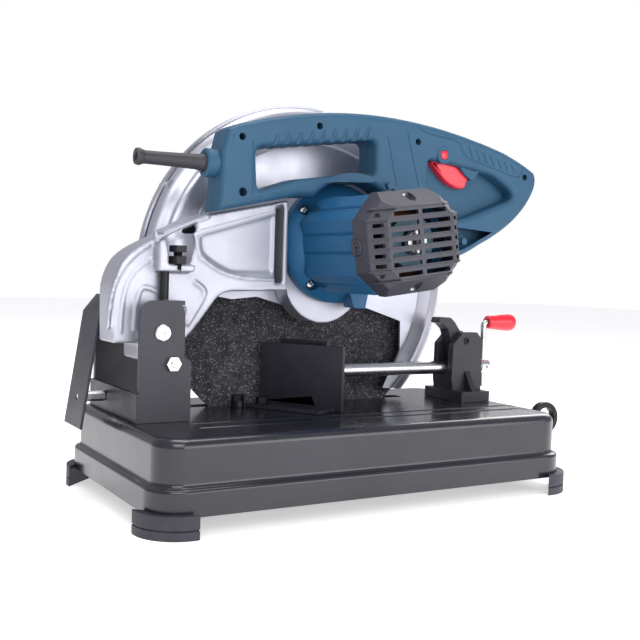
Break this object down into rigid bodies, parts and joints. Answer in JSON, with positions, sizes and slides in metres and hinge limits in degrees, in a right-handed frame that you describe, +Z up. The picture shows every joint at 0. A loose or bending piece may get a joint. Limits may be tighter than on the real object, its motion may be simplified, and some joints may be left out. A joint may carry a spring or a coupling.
{
  "type": "abrasive chop saw",
  "caption": "Abrasive chop saw: pressed base with fence and quick-release vise, hinged cast arm with guarded cutting wheel, side motor and D-grip handle.",
  "frame": {"origin": "on the floor under the feet, at the middle of the whole saw's box", "axes": "+X along the saw's length towards the operator's grip and the vise's crank, -Y towards the motor, +Z up"},
  "size_m": [0.5304, 0.291, 0.4115],
  "materials": {
    "black_paint": "satin black enamel on pressed and cast metal",
    "rubber_black": "matt moulded rubber",
    "bright_steel": "zinc plated and turned steel",
    "black_steel": "blackened steel",
    "cast_black": "black painted casting with a fine grain",
    "cast_aluminium": "fine silver paint on an aluminium casting",
    "dark_steel": "oiled dark steel",
    "abrasive": "coarse resin-bonded grit",
    "teal_plastic": "finely textured moulded plastic",
    "black_plastic": "finely textured black plastic",
    "red_plastic": "smooth moulded plastic"
  },
  "bodies": {
    "base": {"base_pan": "black_paint", "foot_rear_near": "rubber_black", "foot_rear_far": "rubber_black", "foot_front_near": "rubber_black", "foot_front_far": "rubber_black", "pivot_bracket": "black_paint", "pivot_shaft": "bright_steel", "spring_anchor_bolt": "bright_steel", "spark_deflector": "black_paint", "deflector_bolt": "bright_steel", "return_spring": "bright_steel", "fence": "black_paint", "fence_bolt": "bright_steel", "table_bolt": "bright_steel", "vise_body": "cast_black", "vise_bolt_near": "bright_steel", "vise_bolt_far": "bright_steel", "lever_pin": "bright_steel"},
    "head": {"arm_casting": "cast_aluminium", "guard_cover": "cast_aluminium", "pivot_sleeve": "bright_steel", "depth_stop_bolt": "black_steel", "depth_stop_nut": "black_steel", "depth_stop_rod": "black_steel", "spindle_front_bearing": "bright_steel", "spindle_rear_bearing": "bright_steel", "motor_housing": "teal_plastic", "vent_cap": "black_plastic", "stator": "dark_steel", "armature_front_bearing": "bright_steel", "armature_rear_bearing": "bright_steel", "brush_cap_rear": "black_plastic", "carbon_brush_rear": "abrasive", "brush_cap_front": "black_plastic", "carbon_brush_front": "abrasive", "handle_near_shell": "teal_plastic", "handle_far_shell": "teal_plastic", "switch_module": "black_plastic", "strain_relief": "rubber_black"},
    "wheel": {"spindle": "bright_steel", "spindle_gear": "dark_steel", "inner_flange": "bright_steel", "cutting_wheel": "abrasive", "outer_flange": "bright_steel", "wheel_bolt": "bright_steel"},
    "rotor": {"armature": "dark_steel", "cooling_fan": "black_plastic"},
    "trigger": {"trigger": "red_plastic"},
    "lock_button": {"lock_button": "red_plastic"},
    "half_nut_lever": {"half_nut_lever": "cast_black"},
    "vise_carriage": {"swivel_block": "bright_steel", "jaw_pin": "bright_steel"},
    "vise_screw": {"vise_screw": "bright_steel", "crank_hub": "bright_steel", "crank_rod": "bright_steel"},
    "crank_grip": {"crank_grip": "red_plastic"},
    "jaw_plate": {"jaw_plate": "black_paint"},
    "wheel_wrench": {"wheel_wrench": "black_steel"}
  },
  "joints": [
    {"name": "head_pivot", "type": "hinge", "parent": "base", "child": "head", "pos_m": [-0.20775, 0.0055, 0.167], "axis": [0, -1, 0], "range_deg": [0, 40]},
    {"name": "wheel_spin", "type": "hinge", "parent": "head", "child": "wheel", "pos_m": [-0.00775, 0.0615, 0.22], "axis": [0, 1, 0], "continuous": true},
    {"name": "armature_spin", "type": "hinge", "parent": "head", "child": "rotor", "pos_m": [0.00125, -0.0545, 0.259], "axis": [0, 1, 0], "continuous": true},
    {"name": "trigger_pull", "type": "hinge", "parent": "head", "child": "trigger", "pos_m": [0.10725, -0.0085, 0.352], "axis": [0, -1, 0], "range_deg": [0, 5], "stiffness_Nm_per_rad": 0.6},
    {"name": "lock_press", "type": "slide", "parent": "head", "child": "lock_button", "axis": [0, 1, 0], "range_m": [0, 0.003], "stiffness_N_per_m": 200},
    {"name": "lever_lift", "type": "hinge", "parent": "base", "child": "half_nut_lever", "pos_m": [0.18075, 0.0215, 0.153], "axis": [0, 1, 0], "range_deg": [0, 35]},
    {"name": "vise_slide", "type": "slide", "parent": "base", "child": "vise_carriage", "axis": [1, 0, 0], "range_m": [0, 0.1]},
    {"name": "screw_turn", "type": "hinge", "parent": "vise_carriage", "child": "vise_screw", "pos_m": [0.10625, 0.0215, 0.121], "axis": [1, 0, 0], "continuous": true},
    {"name": "grip_spin", "type": "hinge", "parent": "vise_screw", "child": "crank_grip", "pos_m": [0.24425, 0.0215, 0.174], "axis": [1, 0, 0], "continuous": true},
    {"name": "jaw_swivel", "type": "hinge", "parent": "vise_carriage", "child": "jaw_plate", "pos_m": [-0.01375, 0.0215, 0.121], "axis": [0, 0, 1], "range_deg": [-20, 7]},
    {"name": "wrench_slide", "type": "slide", "parent": "base", "child": "wheel_wrench", "axis": [1, 0, 0], "range_m": [0, 0.15]}
  ],
  "couplings": [
    {"joint": "armature_spin", "follows": "wheel_spin", "ratio": -3.8889}
  ]
}
